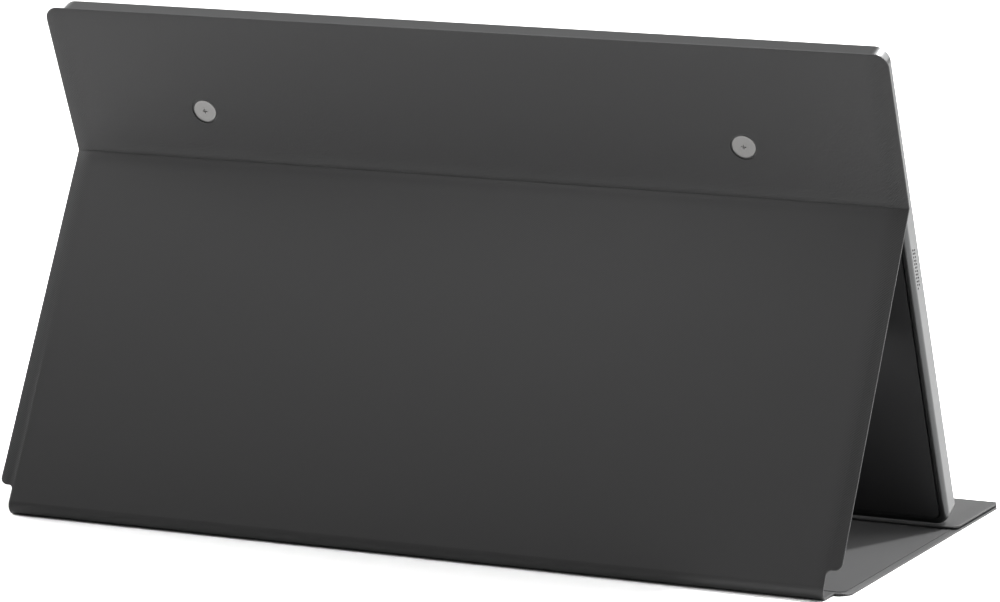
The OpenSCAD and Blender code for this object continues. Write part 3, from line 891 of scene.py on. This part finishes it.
class FinishCase(bpy.types.Operator):
    """Metal frame, buttons and the black back of the case"""

    bl_idname = "monitor.case"
    bl_label = "Case"

    def execute(self, context):
        nodes = frame["nodes"]
        colours = context.scene.monitor_colours
        metal_look("blasted_metal", colours).put_on(nodes["frame_shell"])
        brushed_look("button_metal", scaled(colours.metal, 1.15), 0.3, (60, 1, 60)).put_on(
            nodes["power_button"], nodes["menu_button_upper"], nodes["menu_button_lower"]
        )
        moulded_look("black_back", colours.case, 0.55, specular=0.22).put_on(nodes["back_panel"])
        return {"FINISHED"}


class FinishScreen(bpy.types.Operator):
    """Dark border and the layers of the screen"""

    bl_idname = "monitor.screen"
    bl_label = "Screen"

    def execute(self, context):
        nodes = frame["nodes"]
        border = context.scene.monitor_colours.border
        moulded_look("black_border", border, 0.4, specular=0.2).put_on(nodes["front_bezel"])
        screen_look("dark_glass").put_on(nodes["glass_cell"])
        moulded_look("milky_guide", (0.8, 0.82, 0.84), 0.2, 0.3 * MM).put_on(nodes["light_guide"])
        brushed_look("pressed_steel", (0.5, 0.51, 0.52), 0.35).put_on(nodes["screen_tray"])
        return {"FINISHED"}


class FinishScrews(bpy.types.Operator):
    """Cover screws, their collars and brass inserts"""

    bl_idname = "monitor.screws"
    bl_label = "Screws"

    def execute(self, context):
        nodes = frame["nodes"]
        turned_look("satin_screw", context.scene.monitor_colours.screw, 0.42).put_on(nodes["cover_screws"])
        turned_look("board_screw", (0.6, 0.6, 0.6), 0.3).put_on(nodes["board_screws"])
        turned_look("brass", (0.55, 0.38, 0.13), 0.3).put_on(nodes["screw_inserts"])
        moulded_look("black_collar", (0.012, 0.012, 0.012), 0.5).put_on(nodes["screw_collars"])
        return {"FINISHED"}


class FinishSockets(bpy.types.Operator):
    """Sockets, speakers and what else is behind the side walls"""

    bl_idname = "monitor.sockets"
    bl_label = "Sockets and inner parts"

    def execute(self, context):
        nodes = frame["nodes"]
        brushed_look("socket_steel", (0.07, 0.071, 0.073), 0.28, (1, 60, 60)).put_on(
            nodes["data_sockets"], nodes["picture_socket"]
        )
        moulded_look("black_plastic", (0.015, 0.015, 0.016), 0.45).put_on(
            nodes["headphone_socket"], nodes["speaker_left"], nodes["speaker_right"]
        )
        board_look("green_board", (0.012, 0.075, 0.035)).put_on(
            nodes["driver_board"], nodes["strip_board"], nodes["button_board"]
        )
        moulded_look("chip_resin", (0.018, 0.018, 0.02), 0.6, 0.15 * MM).put_on(nodes["board_chips"])
        moulded_look("switch_plastic", (0.55, 0.52, 0.42), 0.5).put_on(nodes["button_switches"])
        brushed_look("flat_cable", (0.42, 0.2, 0.06), 0.4, (60, 1, 1)).put_on(nodes["ribbon_cable"])
        turned_look("magnet_metal", (0.35, 0.36, 0.37), 0.35).put_on(
            nodes["case_magnets"], nodes["flap_magnets"]
        )
        return {"FINISHED"}


# Square lights as (name, place, aim, width, watts), from the photo's view: a small key behind on the right
# draws the crisp shadow on the lining, the large ones behind light floor and metal, the near ones make the
# panels paler towards their tops, and the last fills the shadow under the strut
MIDDLE = (0, 0, 0.1)
LIGHTS = (
    ("key", (-0.709, -0.641, 1.383), MIDDLE, 0.09, 67.2),
    ("low_left", (1.56, -0.275, 0.323), MIDDLE, 0.9, 86.3),
    ("back_right", (-1.58, -1.883, 1.821), MIDDLE, 3.0, 225.8),
    ("back_left", (1.58, -1.883, 1.821), MIDDLE, 3.0, 36.2),
    ("strip_middle", (0, 0.15, 0.36), MIDDLE, 0.22, 0.71),
    ("strip_left", (0.3, 0.15, 0.36), MIDDLE, 0.22, 0.51),
    ("near_right", (-0.45, 0.22, 0.28), MIDDLE, 0.22, 0.34),
    ("side_right", (-0.45, 0.42, 0.28), MIDDLE, 0.22, 0.23),
    ("under_strut", (-0.14, 0.022, 0.085), (-0.14, 0.012, 0), 0.03, 0.06),
)


class BuildStage(bpy.types.Operator):
    """Pale floor, soft studio lights and the camera"""

    bl_idname = "monitor.stage"
    bl_label = "Stage"

    def execute(self, context):
        stage = context.scene.stage_sizes
        self.floor(context, stage)
        self.world(context.scene, stage)
        for light in LIGHTS:
            self.light(*light)
        self.camera(context.scene, stage)
        context.scene.view_settings.view_transform = "Standard"
        return {"FINISHED"}

    def floor(self, context, stage):
        """The pale floor that the monitor stands on."""
        start_fresh()
        bpy.ops.mesh.primitive_plane_add(size=stage.floor_w, location=(0, 0, 0))
        floor = bpy.context.object
        floor.name = "floor"
        look = Look("pale_floor", context.scene.monitor_colours.floor, 0.9)
        cloud = look.noise(look.place(), 1.5, 2)
        look.set("Roughness", cloud * 0.1 + 0.85)
        look.put_on(floor)

    def world(self, scene, stage):
        """Even, soft light from all around."""
        world = bpy.data.worlds.new("studio")
        world.use_nodes = True
        background = world.node_tree.nodes["Background"]
        background.inputs["Color"].default_value = (1, 1, 1, 1)
        background.inputs["Strength"].default_value = stage.world_light
        scene.world = world

    def light(self, name, place, aim, width, watts):
        """A square light that the camera doesn't see."""
        data = bpy.data.lights.new(name, "AREA")
        data.shape = "SQUARE"
        data.size = width
        data.energy = watts
        lamp = bpy.data.objects.new(name, data)
        lamp.location = place
        lamp.visible_camera = False
        lamp.rotation_euler = (Vector(aim) - Vector(place)).to_track_quat("-Z", "Y").to_euler()
        bpy.context.scene.collection.objects.link(lamp)

    def camera(self, scene, stage):
        """The camera at the photo's angle."""
        data = bpy.data.cameras.new("camera")
        data.sensor_fit = "HORIZONTAL"
        data.sensor_width = 36
        data.lens = stage.lens
        data.clip_end = 50
        camera = bpy.data.objects.new("camera", data)
        camera.location = stage.camera_place
        camera.rotation_euler = (math.pi / 2 - stage.camera_tilt, 0, math.pi + stage.camera_azimuth)
        scene.collection.objects.link(camera)
        scene.camera = camera


STEPS = (
    BuildCover, BuildFlap, FinishLinings, FinishCase, FinishScreen, FinishScrews, FinishSockets, BuildStage
)


class MonitorPanel(bpy.types.Panel):
    """Sizes, colours and building steps of the monitor"""

    bl_idname = "VIEW3D_PT_monitor"
    bl_label = "Portable monitor"
    bl_space_type = "VIEW_3D"
    bl_region_type = "UI"
    bl_category = "Monitor"

    def draw(self, context):
        for step in STEPS:
            self.layout.operator(step.bl_idname)
        for group in (context.scene.cover_sizes, context.scene.monitor_colours, context.scene.stage_sizes):
            for name in group.__annotations__:
                self.layout.prop(group, name)


CLASSES = (CoverSizes, Colours, StageSizes, *STEPS, MonitorPanel)


def register():
    """Adds the classes and their settings to Blender."""
    for made in CLASSES:
        bpy.utils.register_class(made)
    bpy.types.Scene.cover_sizes = PointerProperty(type=CoverSizes)
    bpy.types.Scene.monitor_colours = PointerProperty(type=Colours)
    bpy.types.Scene.stage_sizes = PointerProperty(type=StageSizes)


def unregister():
    """Takes them out again."""
    for name in ("cover_sizes", "monitor_colours", "stage_sizes"):
        delattr(bpy.types.Scene, name)
    for made in reversed(CLASSES):
        bpy.utils.unregister_class(made)


def main():
    """Builds everything in order."""
    register()
    bpy.ops.monitor.cover()
    bpy.ops.monitor.flap()
    bpy.ops.monitor.linings()
    bpy.ops.monitor.case()
    bpy.ops.monitor.screen()
    bpy.ops.monitor.screws()
    bpy.ops.monitor.sockets()
    bpy.ops.monitor.stage()


if __name__ == "__main__":
    main()
